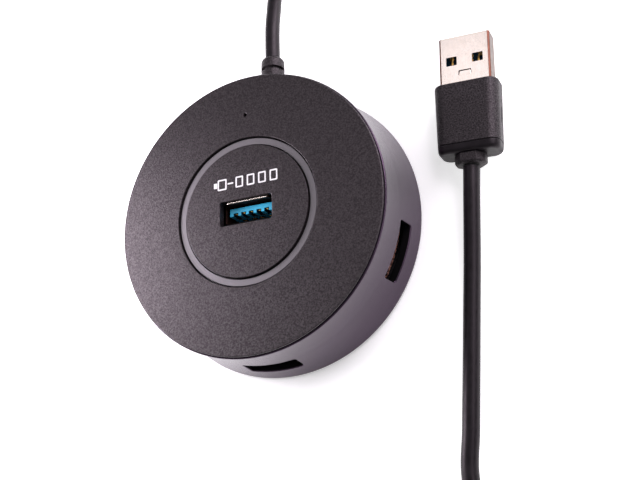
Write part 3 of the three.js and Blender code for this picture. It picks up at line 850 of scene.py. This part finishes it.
def add_screws():
    """Cross-recessed screw heads and their shanks, driven up from below."""
    low = FOOT_LIFT + GAP
    head, head_top, middle = 2.0, low + 0.9, 0.2
    shank, shank_top = 1.0, head_top + 9
    profile = [(middle, low + 0.02, 0), (1.3, low + 0.04, 0.3), (head, low + 0.3, 0.15)]
    profile += [(head, head_top, 0.1), (shank, head_top, 0.1)]
    profile += [(shank, shank_top, 0.3), (middle, shank_top, 0)]
    arm, half_arm, depth = 1.15, 0.27, 0.5
    for index, direction in enumerate(SCREW["directions"], 1):
        centre = on_circle(SCREW["distance"], direction)
        skin = Skin()
        turned(skin, profile, 48, "capped", centre)
        cross = Skin(standing(centre, direction))
        cross.prism(cross_outline(arm, half_arm), 0, 0, (0, low + depth))
        name = f"screw_{index}"
        add_piece(name, skin, "screw_steel", stands_for=[f"base_screw_{index}"], cutter=cross)


def cross_outline(arm, half):
    """A cross with four equal arms, counter-clockwise."""
    points = []
    for turn in range(4):
        c, s = round(math.cos(turn * math.pi / 2)), round(math.sin(turn * math.pi / 2))
        points += [(x * c - y * s, x * s + y * c) for x, y in ((arm, -half), (arm, half), (half, half))]
    return points


# ---- sockets


def socket_places():
    """Each socket's frame: +Y out of its mouth, X across, and Z towards the side of its tongue."""
    up_through_lid = Matrix(((-1, 0, 0, 0), (0, 0, 1, 0), (0, 1, 0, LID_SOCKET_MOUTH), (0, 0, 0, 1)))
    places = {"top": up_through_lid}
    for name, direction in WALL_SOCKETS.items():
        mouth = on_circle(WALL_SOCKET_MOUTH, direction, WALL_SOCKET_HEIGHT)
        places[name] = standing(mouth, direction - 90)
    return places


def mouth_setback(x):
    """The shell's short sides stop a little behind its long sides."""
    set_back, from_side, ramp = 1.6, 1.2, 0.5
    share = limited((abs(x) - (SOCKET["width"] / 2 - from_side)) / ramp)
    return set_back * share * share * (3 - 2 * share)


def add_socket_shell(name, place):
    """A folded metal shell, plain nickel on its wide side by the tongue, with painted shade elsewhere: a
    dark, rough copy of the metal inside and near-black plastic on the far side.
    """
    width, height, metal, corner = (SOCKET[key] for key in ("width", "height", "metal", "corner"))
    back, straight_from, near_mouth = -SOCKET["depth"], -4, -0.7
    edge, soft = 0.06, 0.018
    steps = ((4, 40), (4, 6))

    def section(y, inset, follow):
        outline = inset_rectangle(width, height, corner, inset, steps, least=0.12)
        return [(x, y - follow * mouth_setback(x), z) for x, z in reversed(outline)]

    outer = [(back, 0, 0), (straight_from, 0, 0), (near_mouth, 0, 1)]
    outer += [(-edge, 0, 1), (-soft, soft, 1), (0, edge, 1)]
    inner = [(y, metal - inset, follow) for y, inset, follow in reversed(outer)]
    skin = Skin(place)
    skin.tube([section(*station) for station in outer + inner], "joined")
    bright, inside, dark = range(3)
    bright_above, bright_within = height / 2 - metal + 0.005, width / 2 - 1.3
    # Painted shade: the inside faces get a dark, rough copy of the metal and the far side the near-black
    # plastic; the wide side by the tongue keeps the plain nickel.
    to_socket = place.inverted()
    for face in skin.mesh.faces:
        middle = to_socket @ face.calc_center_median()
        face.material_index = dark if middle.z < -height / 4 else inside
        if middle.z > bright_above and abs(middle.x) < bright_within:
            face.material_index = bright
    # The springs take the near-black look as well, painted shade.
    skin.material_index = dark
    for side in (-1, 1):
        for x in (-3.0, 3.0):
            add_leaf_spring(skin, x, side)
    looks = {"look": "nickel_plate", "more_looks": ["shell_painted_shade", "slot_painted_shade"]}
    add_piece(f"socket_shell_{name}", skin, **looks, stands_for=[f"port_shell_{name}"])


def add_leaf_spring(skin, x, side):
    """A spring pressed out of the shell's wide side, bulging into the mouth."""
    half_width, metal, overlap = 1.0, 0.15, 0.05
    start, length, bulge = -1.2, 6.5, 0.42
    inner = SOCKET["height"] / 2 - SOCKET["metal"]
    outlines = []
    for share in shares(10):
        face = inner - bulge * math.sin(math.pi * share) ** 2
        low, high = sorted((side * (face - metal), side * (face + overlap)))
        outlines.append(upright(x, half_width, start - length * share, low, high))
    skin.tube(outlines)


def add_insulator(name, place):
    """The blue block at the back of a socket, and its tongue with five notches along the front edge."""
    back, front = -SOCKET["depth"], TONGUE["front"]
    half_width = SOCKET["width"] / 2 - SOCKET["metal"] - GAP
    half_height = SOCKET["height"] / 2 - SOCKET["metal"] - GAP
    half_tongue, low, high = TONGUE["width"] / 2, TONGUE["bottom"], TONGUE["top"]
    block_depth, past = 3.4, 1
    notch = {"half": 0.6, "depth": 0.72, "length": 2.6}
    channel = {"depth": 0.25, "from_back": 3.6, "from_notch": 0.5}
    notch_end = front - notch["length"]
    skin = Skin(place)
    skin.block(0, half_width, (back, back + block_depth), (-half_height, half_height))
    skin.block(0, half_tongue, (back + past, front), (low, high))
    cutter = Skin(place)
    cutter.material_index = 1
    for x in FIVE_NOTCHES:
        cutter.block(x, notch["half"], (notch_end, front + past), (low - past, low + notch["depth"]))
    ys = (back + channel["from_back"], notch_end - channel["from_notch"])
    for x in FOUR_CONTACTS:
        cutter.block(x, CHANNEL_HALF, ys, (low - past, low + channel["depth"]))
    looks = {"look": "socket_blue", "more_looks": ["socket_shade"]}
    node = f"port_insulator_{name}"
    add_piece(f"socket_tongue_{name}", skin, **looks, stands_for=[node], cutter=cutter, bevel=0.07)


def add_socket_contacts(name, place):
    """Four sprung contacts under the tongue, and five short ones in the notches at its front."""
    front, low = TONGUE["front"], TONGUE["bottom"]
    metal, half, sprung_by = 0.18, 0.42, 0.75
    start, end, top = 3.0 - SOCKET["depth"], front - 3.4, low + 0.02
    short_half, short_ys, short_zs = 0.3, (front - 2.4, front - 0.35), (low + 0.46, low + 0.62)
    skin = Skin(place)
    for x in FOUR_CONTACTS:
        outlines = []
        for share in shares(12):
            z = top - sprung_by * math.sin(math.pi * min(1, 1.08 * share)) ** 3
            outlines.append(upright(x, half, start + (end - start) * share, z - metal, z))
        skin.tube(outlines)
    for x in FIVE_NOTCHES:
        skin.block(x, short_half, short_ys, short_zs)
    node = f"port_contacts_{name}"
    add_piece(f"socket_contacts_{name}", skin, "contact_gold", stands_for=[node], bevel=0.04)


def add_sockets():
    for name, place in socket_places().items():
        add_socket_shell(name, place)
        add_insulator(name, place)
        add_socket_contacts(name, place)


# ---- the lead


def gland_radius(y, degrees):
    """The sleeve's radius, with three slots round it, each bridged on two sides, and a rounded nose."""
    nose, lip = GLAND["nose"], 0.35
    half_bridge, ramp = 12, 4
    radius = GLAND["radius"] - GLAND["taper"] * (y - GLAND["start"])
    past = y - (GLAND["end"] - nose)
    if past > 0:
        drop = GLAND["radius"] - CORD_RADIUS - lip
        radius -= drop * (1 - math.sqrt(max(0.0, 1 - (past / nose) ** 2)))
    for start, bridge in GLAND_SLOTS:
        off_bridge = abs((degrees - bridge + 90) % 180 - 90)
        inside = limited(min(y - start, start + GLAND_SLOT["width"] - y) / GLAND_SLOT["edge"])
        radius -= GLAND_SLOT["depth"] * inside * limited((off_bridge - half_bridge) / ramp)
    return radius


def gland_ring(y, radius_at):
    """Points round the gland's middle line, each at the radius that its direction has."""
    ring = []
    for side in reversed(range(GLAND["sides"])):
        degrees = 360 * side / GLAND["sides"]
        x, z, _ = on_circle(radius_at(degrees), degrees)
        ring.append((x, y, GLAND["height"] + z))
    return ring


def flange_ring(y):
    """Points round the gland's flat-sided flange, which reaches further down than up."""
    half_width, above, below = 4.2, 2.6, 2.9
    ring = []
    for x, _, z in gland_ring(y, lambda _: 1.0):
        up = z - GLAND["height"]
        reach = max(abs(x), abs(up))
        ring.append((half_width * x / reach, y, GLAND["height"] + (above if up > 0 else below) * up / reach))
    return ring


def add_gland():
    """The strain relief: a flange inside the wall, a neck through it, and a sleeve with slots and a nose."""
    start, end, nose = GLAND["start"], GLAND["end"], GLAND["nose"]
    width, edge, margin = GLAND_SLOT["width"], GLAND_SLOT["edge"], 0.06
    heights = {start, end}
    for slot_start, _ in GLAND_SLOTS:
        for offset in (-margin, 0, edge, width / 2, width - edge, width, width + margin):
            heights.add(slot_start + offset)
    heights |= {end - nose + nose * math.sin(math.pi / 2 * share) for share in shares(8)}
    flange, neck, neck_radius, foot_radius = (30.4, 31.6), (31.65, 35.3), 2.75, 3.0
    bore_radius, bore_depth = CORD_RADIUS + 0.05, 0.8
    outlines = [flange_ring(y) for y in flange]
    outlines += [gland_ring(y, lambda _: neck_radius) for y in neck]
    outlines += [gland_ring(start - 0.1, lambda _: foot_radius)]
    outlines += [gland_ring(y, lambda degrees: gland_radius(y, degrees)) for y in sorted(heights)]
    outlines += [gland_ring(y, lambda _: bore_radius) for y in (end, end - bore_depth)]
    skin = Skin()
    skin.tube(outlines)
    return add_piece("lead_gland", skin, "plug_plastic", slot="cord_jacket", stands_for=["cable_gland"])


def coil_point(lap, degrees):
    """A place on the coil's middle line, some degrees into a lap, clockwise from +Y seen from above."""
    radius, height = COIL_STATIONS[lap]
    if lap < len(COIL_MOVES):
        start, end = COIL_MOVES[lap]
        share = limited((degrees - start) / (end - start))
        share = (1 - math.cos(math.pi * share)) / 2
        next_radius, next_height = COIL_STATIONS[lap + 1]
        radius += (next_radius - radius) * share
        height += (next_height - height) * share
    x, y, _ = on_circle(radius, 90 - degrees)
    return (COIL["x"] + x, COIL["y"] + y, height)


def coil_route():
    """The coil's middle line: a full turn between stations and a quarter turn at the last one."""
    turns = len(COIL_STATIONS) - 1 + 0.25
    points = []
    for index in range(round(turns * COIL_POINTS_PER_TURN) + 1):
        lap, part = divmod(index, COIL_POINTS_PER_TURN)
        points.append(coil_point(lap, 360 * part / COIL_POINTS_PER_TURN))
    return points


def add_lead():
    curve = bpy.data.curves.new("lead", "CURVE")
    curve.dimensions = "3D"
    curve.resolution_u = 8
    curve.bevel_depth = CORD_RADIUS * MM
    curve.bevel_resolution = 8
    curve.use_fill_caps = True
    spline = curve.splines.new("BEZIER")
    route = HUB_RUN + coil_route() + PLUG_RUN
    spline.bezier_points.add(len(route) - 1)
    for knot, point in zip(spline.bezier_points, route):
        knot.co = metres(point)
        knot.handle_left_type = "AUTO"
        knot.handle_right_type = "AUTO"
    curve.materials.append(LOOKS["cord_jacket"])
    lead = add_object("lead", curve)
    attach(lead, BODY)
    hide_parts("cord_hub_run", "cord_coil", "cord_plug_run")
    return lead


def add_cord_tie():
    """A soft strap that holds the coil's turns together, closed by a small buckle on top."""
    direction, steps = 45, ((6, 8), (6, 2))
    inner, outer, bottom, top, corner = 13.6, 25.75, 0.05, 7.95, 2.2
    half_width, thickness, edge = 2.2, 0.3, 0.12
    middle = (bottom + top) / 2
    flat_bottom = bottom - middle - 0.04

    def loop(grow, y):
        outline = inset_rectangle(outer - inner, top - bottom, corner, -grow, steps)
        return [(x, y, max(z, flat_bottom)) for x, z in outline]

    across = standing((COIL["x"], COIL["y"], 0), direction)
    skin = Skin(across @ Matrix.Translation(((inner + outer) / 2, 0, middle)))
    side = [(0, half_width - edge), (edge, half_width)]
    side += [(thickness - edge, half_width), (thickness, half_width - edge)]
    outlines = [loop(grow, -y) for grow, y in side]
    outlines += [loop(grow, y) for grow, y in reversed(side)]
    skin.tube(outlines, "joined")
    buckle_half, buckle_past, buckle_height = 1.6, 0.5, 0.7
    low = (top - bottom) / 2 + thickness - 0.05
    reach = half_width + buckle_past
    skin.block(0, buckle_half, (-reach, reach), (low, low + buckle_height))
    return add_piece("lead_tie", skin, "foot_rubber", slot="foot_rubber", bevel=0.12)


# ---- the plug

PLUG_PLACE = standing((PLUG["x"], PLUG["y"], PLUG["height"]), PLUG["turn"])
FINE_CORNERS = ((8, 4), (8, 2))


def add_plug_collar():
    """A short eight-sided collar where the lead goes into the plug."""
    width, height, cut = 7.0, 5.4, 1.7
    # Each station's distance along the collar, and how far it is inset
    stations = [(0.0, 0.45), (0.25, 0.12), (0.6, 0.0), (2.3, 0.0), (2.55, 0.1)]
    outlines = []
    for y, inset in stations:
        half_width, half_height = width / 2 - inset, height / 2 - inset
        quarter = [(half_width, half_height - cut), (half_width - cut, half_height)]
        outline = quarter + [(-x, z) for x, z in reversed(quarter)]
        outline += [(-x, -z) for x, z in outline]
        outlines.append([(x, y, z) for x, z in reversed(outline)])
    skin = Skin(PLUG_PLACE)
    skin.tube(outlines)
    return add_piece("plug_neck", skin, "plug_plastic", stands_for=["plug_collar"], bevel=0.16)


def add_plug_band():
    """A softer band between the collar and the plug's body."""
    skin = Skin(PLUG_PLACE)
    bar(skin, PLUG_BAND, (0.9, 0.08), 0.35, FINE_CORNERS)
    return add_piece("plug_band", skin, "cord_jacket", slot="plug_plastic", stands_for=["plug_end_band"])


def add_plug_body():
    """The overmould: a pocket for the shell, and a groove and a dot sunk into its right side."""
    skin = Skin(PLUG_PLACE)
    bar(skin, PLUG_BODY, (0.18, 0.45), 0.5, FINE_CORNERS)
    play, past = 0.24, 5
    pocket = {"start": PLUG_SHELL["start"] - GAP, "end": PLUG_BODY["end"] + past, "corner": 0.5}
    pocket |= {key: PLUG_SHELL[key] + play for key in ("width", "height")}
    cutter = Skin(PLUG_PLACE)
    bar(cutter, pocket, (0.05, 0.05))
    side = PLUG_BODY["width"] / 2
    groove, groove_middle, groove_depth = rounded_rectangle(0.5, 3.9, 0.25), 11.1, 0.6
    dot_radius, dot_middle, dot_depth = 0.32, 14.4, 0.5
    dot = [on_circle(dot_radius, 360 * step / 16)[:2] for step in range(16)]
    for outline, middle, depth in ((groove, groove_middle, groove_depth), (dot, dot_middle, dot_depth)):
        cutter.tube([[(x, middle + y, z) for z, y in outline] for x in (side - depth, side + 1)])
    return add_piece("plug_overmould", skin, "plug_plastic", stands_for=["plug_body"], cutter=cutter)


def add_plug_shell():
    """The folded shell, with windows through top and bottom, a tab's opening on top and a seam below."""
    start, tip, width, height, metal, corner = PLUG_SHELL.values()
    steps = ((5, 6), (5, 3))

    def section(y, inset):
        outline = inset_rectangle(width, height, corner, inset, steps, least=0.12)
        return [(x, y, z) for x, z in reversed(outline)]

    half = metal / 2
    turns = [math.pi * share for share in shares(6)]
    outlines = [section(start, 0)]
    outlines += [section(tip - half + half * math.sin(turn), half * (1 - math.cos(turn))) for turn in turns]
    outlines += [section(start, metal)]
    skin = Skin(PLUG_PLACE)
    skin.tube(outlines, "joined")
    # Painted shade: the short sides and the inside get a darker copy of the nickel, the rounded corners a
    # darker, reddish one; the wide faces keep the plain plate.
    side_shade, fold_shade = 1, 2
    to_plug = PLUG_PLACE.inverted()
    for face in skin.mesh.faces:
        middle = to_plug @ face.calc_center_median()
        across, up = abs(middle.x), abs(middle.z)
        inside = across < width / 2 - half and up < height / 2 - half
        if inside or across > width / 2 - 0.02:
            face.material_index = side_shade
        elif across > width / 2 - corner:
            face.material_index = fold_shade
    window, window_x, window_back = rounded_rectangle(2.5, 2.2, 0.2), 3.05, 6.2
    tab, tab_back, seam = rounded_rectangle(3.0, 1.35, 0.3), 9.45, 0.05
    cutter = Skin(PLUG_PLACE)
    for x in (-window_x, window_x):
        cutter.prism(window, x, tip - window_back, (-height, height))
    cutter.prism(tab, 0, tip - tab_back, (0.5, height))
    cutter.block(0, seam, (start - 1, tip + 1), (-height, -height / 2 + metal + seam))
    looks = {"look": "nickel_plate", "more_looks": ["nickel_side_painted_shade", "nickel_fold_painted_shade"]}
    return add_piece("plug_metal", skin, **looks, stands_for=["plug_shell"], cutter=cutter)


def add_plug_tab():
    """The tab in the opening of the shell's top, a little below its face and narrower towards the tip."""
    top = PLUG_SHELL["height"] / 2
    start, length, half, taper, drop = PLUG_SHELL["tip"] - 10.1, 1.12, 1.38, 0.12, 0.12
    low, high = top - PLUG_SHELL["metal"] - drop, top - drop + 0.02
    skin = Skin(PLUG_PLACE)
    skin.tube([upright(0, half - taper * share, start + length * share, low, high) for share in shares(6)])
    return add_piece("plug_tab", skin, "nickel_plate", bevel=0.05)


def add_plug_insulator():
    """The blue tongue, its shaded part behind the tip, and the block that holds it in the body."""
    start, tip, body_end = PLUG_SHELL["start"], PLUG_SHELL["tip"], PLUG_BODY["end"]
    clear = PLUG_SHELL["metal"] + 0.1
    half_width, half_height = PLUG_SHELL["width"] / 2 - clear, PLUG_SHELL["height"] / 2 - clear
    tongue_top, channel_bottom, shade_end = 0.1, -0.05, tip - 3.2
    skin = Skin(PLUG_PLACE)
    skin.block(0, half_width, (shade_end, tip - GAP), (-half_height, tongue_top))
    skin.material_index = 1
    skin.block(0, half_width, (start, body_end - 1), (-half_height, half_height))
    skin.block(0, half_width, (start + 0.5, shade_end - 0.02), (-half_height, tongue_top))
    cutter = Skin(PLUG_PLACE)
    cutter.material_index = 1
    for x in FOUR_CONTACTS:
        cutter.block(x, CHANNEL_HALF, (body_end - 0.6, tip - 1.6), (channel_bottom, 1))
    looks = {"look": "socket_blue", "more_looks": ["socket_shade"]}
    return add_piece("plug_tongue", skin, **looks, stands_for=["plug_insulator"], cutter=cutter, bevel=0.08)


def add_plug_contacts():
    """Four flat contacts on the tongue, and five sprung ones behind them."""
    tip, pitch, half = PLUG_SHELL["tip"], 1.55, 0.2
    start, length, low, rise = tip - 8.2, 3.6, 0.35, 0.75
    metal, flat_half, flat_ys = 0.18, 0.5, (tip - 4.9, tip - 2)
    skin = Skin(PLUG_PLACE)
    for x in FOUR_CONTACTS:
        skin.block(x, flat_half, flat_ys, (0.02, 0.02 + metal))
    for step in range(-2, 3):
        outlines = []
        for share in shares(8):
            z = low + rise * min(1, 1.5 * math.sin(math.pi * share) ** 2)
            outlines.append(upright(pitch * step, half, start + length * share, z, z + metal))
        skin.tube(outlines)
    return add_piece("plug_pins", skin, "contact_gold", stands_for=["plug_contacts"], bevel=0.04)


# ---- pieces that stay as the CAD made them


def dress_inner_parts():
    """Better materials for the parts on the board, which keep their CAD shapes."""
    looks = {
        "main_board": "board_laminate",
        "hub_controller": "chip_plastic",
        "voltage_regulator": "chip_plastic",
        "crystal": "can_metal",
        "resettable_fuse": "fuse_body",
        "status_led": "led_lens",
        "light_pipe": "clear_plastic",
        "inner_cord": "cord_jacket",
        "cord_clamp": "base_plastic",
    }
    looks |= {f"capacitor_{index}": "can_metal" for index in range(1, 5)}
    looks |= {f"inner_wire_{index}": wire for index, wire in enumerate(WIRE_COLOURS, 1)}
    for node, look in looks.items():
        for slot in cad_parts[node].material_slots:
            slot.material = LOOKS[look]


# ---- stage, lights and camera

# How strongly the floor glows near the hub and further away, and between which distances that changes
FLOOR_GLOW = {"near": 0.31, "far": 0.9, "distances": (34, 52)}
WORLD_GLOW = {"as a light": 0.25, "as seen": 1.0}
LIGHT_TINT = (1.0, 0.93, 1.01)
# Each light's place, what it aims at, its side and its power
SOFTBOXES = {
    "right_high": ((193, 178, 216), (20, 5, 10), 160, 0.58),
    "right_low": ((239, 224, 93), (20, 5, 10), 160, 0.50),
    "front_right": ((265, 5, 216), (20, 5, 10), 160, 0.18),
    "left": ((-257, 5, 170), (20, 5, 10), 160, 0.14),
    "left_close": ((-110, -10, 50), (0, 0, 15), 60, 0.12),
    "left_close_back": ((-95, 20, 60), (0, 0, 15), 60, 0.09),
    "plug_card": ((-13, 168, 264), (50, 29, 6), 60, 0.017),
    "port_card": ((-136, 109, 264), (0, 3, 19), 30, 0.022),
}
CAMERA = {
    "place": (95.02, -69.97, 189.01),
    "forward": (-0.3934, 0.3068, -0.8666),
    "up": (0.1558, 0.9513, 0.266),
}


def add_floor():
    """A pale table that glows a little, more so far from the hub, like a lit sweep of paper."""
    pale, shaded = (0.9, 0.895, 0.9), (0.885, 0.88, 0.885)
    finish = Finish("floor", pale, 0.8, Specular_IOR_Level=0.2)
    cloud = finish.noise(0.004, 3)
    finish.paint(finish.colours(finish.spread(cloud), pale, shaded))
    finish.roughen(finish.spread(cloud, 0.75, 0.85))
    near, far = FLOOR_GLOW["near"], FLOOR_GLOW["far"]
    finish.feed("Emission Strength", finish.spread(finish.distance(), near, far, *FLOOR_GLOW["distances"]))
    finish.shader.inputs["Emission Color"].default_value = (1, 1, 1, 1)
    mesh = bpy.data.meshes.new("floor")
    reach = 20.0  # metres
    corners = [(-reach, -reach, 0), (reach, -reach, 0), (reach, reach, 0), (-reach, reach, 0)]
    mesh.from_pydata(corners, [], [(0, 1, 2, 3)])
    mesh.materials.append(finish.material)
    floor = add_object("floor", mesh)


def add_softbox(name, place, aim, side, watts):
    """A square soft light at a place in millimetres, turned to a point that it aims at."""
    data = bpy.data.lights.new(name, "AREA")
    data.size = side * MM
    data.energy = watts
    data.color = LIGHT_TINT
    light = add_object(name, data)
    direction = Vector(metres(aim)) - Vector(metres(place))
    turn = direction.to_track_quat("-Z", "Y").to_matrix().to_4x4()
    light.matrix_world = Matrix.Translation(metres(place)) @ turn
    light.visible_camera = False


def add_world():
    """Dim surroundings, which look white to the camera."""
    world = bpy.data.worlds.new("studio")
    world.use_nodes = True
    nodes, links = world.node_tree.nodes, world.node_tree.links
    background = nodes["Background"]
    background.inputs["Color"].default_value = (1, 1, 1, 1)
    rays = nodes.new("ShaderNodeLightPath")
    strength = nodes.new("ShaderNodeMapRange")
    strength.inputs["To Min"].default_value = WORLD_GLOW["as a light"]
    strength.inputs["To Max"].default_value = WORLD_GLOW["as seen"]
    links.new(rays.outputs["Is Camera Ray"], strength.inputs["Value"])
    links.new(strength.outputs["Result"], background.inputs["Strength"])
    bpy.context.scene.world = world
    bpy.context.scene.view_settings.view_transform = "Standard"


def add_camera():
    data = bpy.data.cameras.new("photo_camera")
    data.lens = 51.06
    data.sensor_width = 36
    data.clip_start = 0.01
    data.clip_end = 60
    camera = add_object("photo_camera", data)
    forward, up = Vector(CAMERA["forward"]).normalized(), Vector(CAMERA["up"])
    up = (up - forward * up.dot(forward)).normalized()
    turn = Matrix((forward.cross(up), up, -forward)).transposed().to_4x4()
    camera.matrix_world = Matrix.Translation(metres(CAMERA["place"])) @ turn
    bpy.context.scene.camera = camera


# ---- the whole picture

add_camera()
add_world()
add_floor()
for name, values in SOFTBOXES.items():
    add_softbox(name, *values)

add_case_wall()
add_lid()
add_lid_ring()
add_centre_disc()
add_mark()
add_base()
add_feet()
add_screws()
add_sockets()
dress_inner_parts()

gland = add_gland()
lead = add_lead()
tie = add_cord_tie()
plug_pieces = [
    add_plug_collar(),
    add_plug_band(),
    add_plug_body(),
    add_plug_shell(),
    add_plug_tab(),
    add_plug_insulator(),
    add_plug_contacts(),
]
